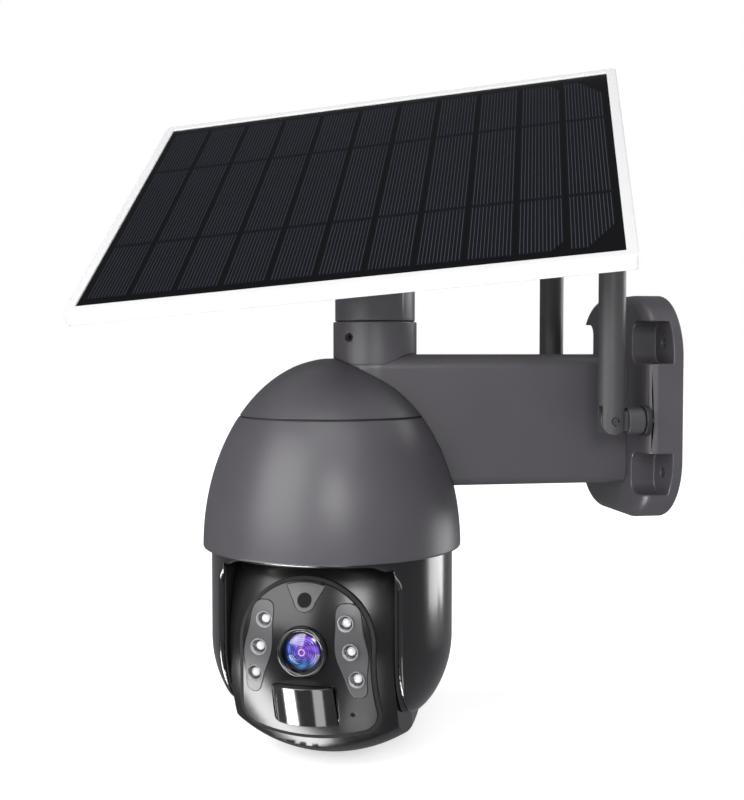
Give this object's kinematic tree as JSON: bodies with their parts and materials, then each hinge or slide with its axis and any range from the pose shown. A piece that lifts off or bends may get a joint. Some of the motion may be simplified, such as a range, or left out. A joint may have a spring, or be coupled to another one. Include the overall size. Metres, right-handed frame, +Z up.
{
  "type": "solar-powered security camera",
  "caption": "Pan and tilt dome camera on a wall arm, with folding antennas and a tilting, swivelling solar panel on top.",
  "frame": {"origin": "centre of the wall plate's back face, on the wall", "axes": "+Z up, -Y away from the wall, +X to the right as seen by someone facing the camera's left side, across the wall plate"},
  "size_m": [0.2383, 0.2827, 0.3405],
  "materials": {
    "body_plastic": "fine satin moulded dark grey",
    "antenna_plastic": "matt dark grey",
    "gloss_black": "high gloss",
    "black_plastic": "moulded black",
    "rubber": "soft black",
    "trim_grey": "satin mid grey",
    "chrome": "polished",
    "clear_lens": "clear moulded",
    "coated_glass": "coated optical glass",
    "smoked_window": "polished smoked plastic",
    "white_plastic": "white moulded plastic",
    "solar_glass": "dark cells under clear laminate",
    "steel": "machined",
    "motor_can": "zinc plated can",
    "gear_white": "natural acetal",
    "brass": "turned",
    "board_green": "solder-masked circuit board",
    "cell_wrap": "blue shrink wrap"
  },
  "bodies": {
    "bracket": {"wall_plate": "body_plastic", "arm_housing": "body_plastic", "battery_cells": "cell_wrap", "battery_frames": "black_plastic", "charge_board": "board_green", "dome_shell": "body_plastic", "dome_cap": "body_plastic", "cap_seal": "rubber", "main_board": "board_green", "pan_base": "black_plastic", "base_screws": "steel", "pan_bearing": "steel", "pan_motor": "motor_can", "panel_collar": "body_plastic", "collar_screw": "steel", "antenna_sockets": "black_plastic"},
    "pan_pinion": {"pan_pinion": "gear_white"},
    "yoke": {"yoke_shell": "gloss_black", "cheek_plates": "black_plastic", "spindle": "steel", "pan_gear": "gear_white", "tilt_motor": "motor_can", "tilt_bushes": "brass"},
    "tilt_pinion": {"tilt_pinion": "gear_white"},
    "camera_ball": {"tilt_axles": "steel", "tilt_gear": "gear_white", "ball_front": "gloss_black", "ball_rear": "gloss_black", "service_cover": "gloss_black", "service_board": "board_green", "face_plate": "gloss_black", "face_gasket": "rubber", "face_trims": "trim_grey", "led_cups": "chrome", "led_lenses": "clear_lens", "light_sensor": "smoked_window", "lens_ring": "gloss_black", "lens_barrel": "black_plastic", "lens_glass": "coated_glass", "image_board": "board_green", "led_board": "board_green", "motion_window": "smoked_window", "microphone": "smoked_window", "speaker": "black_plastic"},
    "reset_button": {"reset_button": "black_plastic"},
    "post": {"swivel_post": "body_plastic", "hinge_bolt": "steel"},
    "knuckle": {"tilt_knuckle": "body_plastic"},
    "panel": {"mount_plate": "body_plastic", "spin_bolt": "steel", "panel_frame": "white_plastic", "solar_laminate": "solar_glass", "panel_back": "white_plastic", "junction_box": "black_plastic", "cable_gland": "black_plastic"},
    "right_antenna_base": {"right_antenna_base": "antenna_plastic"},
    "right_antenna": {"right_antenna": "antenna_plastic"},
    "left_antenna_base": {"left_antenna_base": "antenna_plastic"},
    "left_antenna": {"left_antenna": "antenna_plastic"}
  },
  "joints": [
    {"name": "head_pan", "type": "hinge", "parent": "bracket", "child": "yoke", "pos_m": [0, -0.159, -0.109], "axis": [0, 0, 1], "range_deg": [-243.5, 111.5]},
    {"name": "pan_pinion_spin", "type": "hinge", "parent": "bracket", "child": "pan_pinion", "pos_m": [-0.03101, -0.17029, 0], "axis": [0, 0, 1], "range_deg": [-625, 1365]},
    {"name": "head_tilt", "type": "hinge", "parent": "yoke", "child": "camera_ball", "pos_m": [0, -0.159, -0.109], "axis": [0.4067, 0.9135, 0], "range_deg": [-15, 90]},
    {"name": "tilt_pinion_spin", "type": "hinge", "parent": "yoke", "child": "tilt_pinion", "pos_m": [0, -0.159, -0.084], "axis": [0.4067, 0.9135, 0], "range_deg": [-361, 61]},
    {"name": "reset_press", "type": "slide", "parent": "camera_ball", "child": "reset_button", "axis": [0, 0, 1], "range_m": [0, 0.0006], "stiffness_N_per_m": 400, "springref_m": -0.0006},
    {"name": "panel_swivel", "type": "hinge", "parent": "bracket", "child": "post", "pos_m": [0, -0.138, 0.034], "axis": [0, 0, 1], "range_deg": [-137, 14]},
    {"name": "panel_tilt", "type": "hinge", "parent": "post", "child": "knuckle", "pos_m": [0, -0.138, 0.0797], "axis": [0.4747, 0.8801, 0], "range_deg": [-36, 14]},
    {"name": "panel_spin", "type": "hinge", "parent": "knuckle", "child": "panel", "pos_m": [0, -0.138, 0.0797], "axis": [0.5228, -0.282, 0.8045], "range_deg": [-180, 180]},
    {"name": "right_antenna_turn", "type": "hinge", "parent": "bracket", "child": "right_antenna_base", "pos_m": [0.043, -0.034, -0.0055], "axis": [0, 1, 0], "range_deg": [-20, 90]},
    {"name": "right_antenna_fold", "type": "hinge", "parent": "right_antenna_base", "child": "right_antenna", "pos_m": [0.043, -0.034, -0.0055], "axis": [1, 0, 0], "range_deg": [0, 90]},
    {"name": "left_antenna_turn", "type": "hinge", "parent": "bracket", "child": "left_antenna_base", "pos_m": [-0.043, -0.034, -0.0055], "axis": [0, 1, 0], "range_deg": [-90, 20]},
    {"name": "left_antenna_fold", "type": "hinge", "parent": "left_antenna_base", "child": "left_antenna", "pos_m": [-0.043, -0.034, -0.0055], "axis": [1, 0, 0], "range_deg": [0, 90]}
  ],
  "couplings": [
    {"joint": "pan_pinion_spin", "follows": "head_pan", "ratio": -5.6},
    {"joint": "tilt_pinion_spin", "follows": "head_tilt", "ratio": -4}
  ]
}
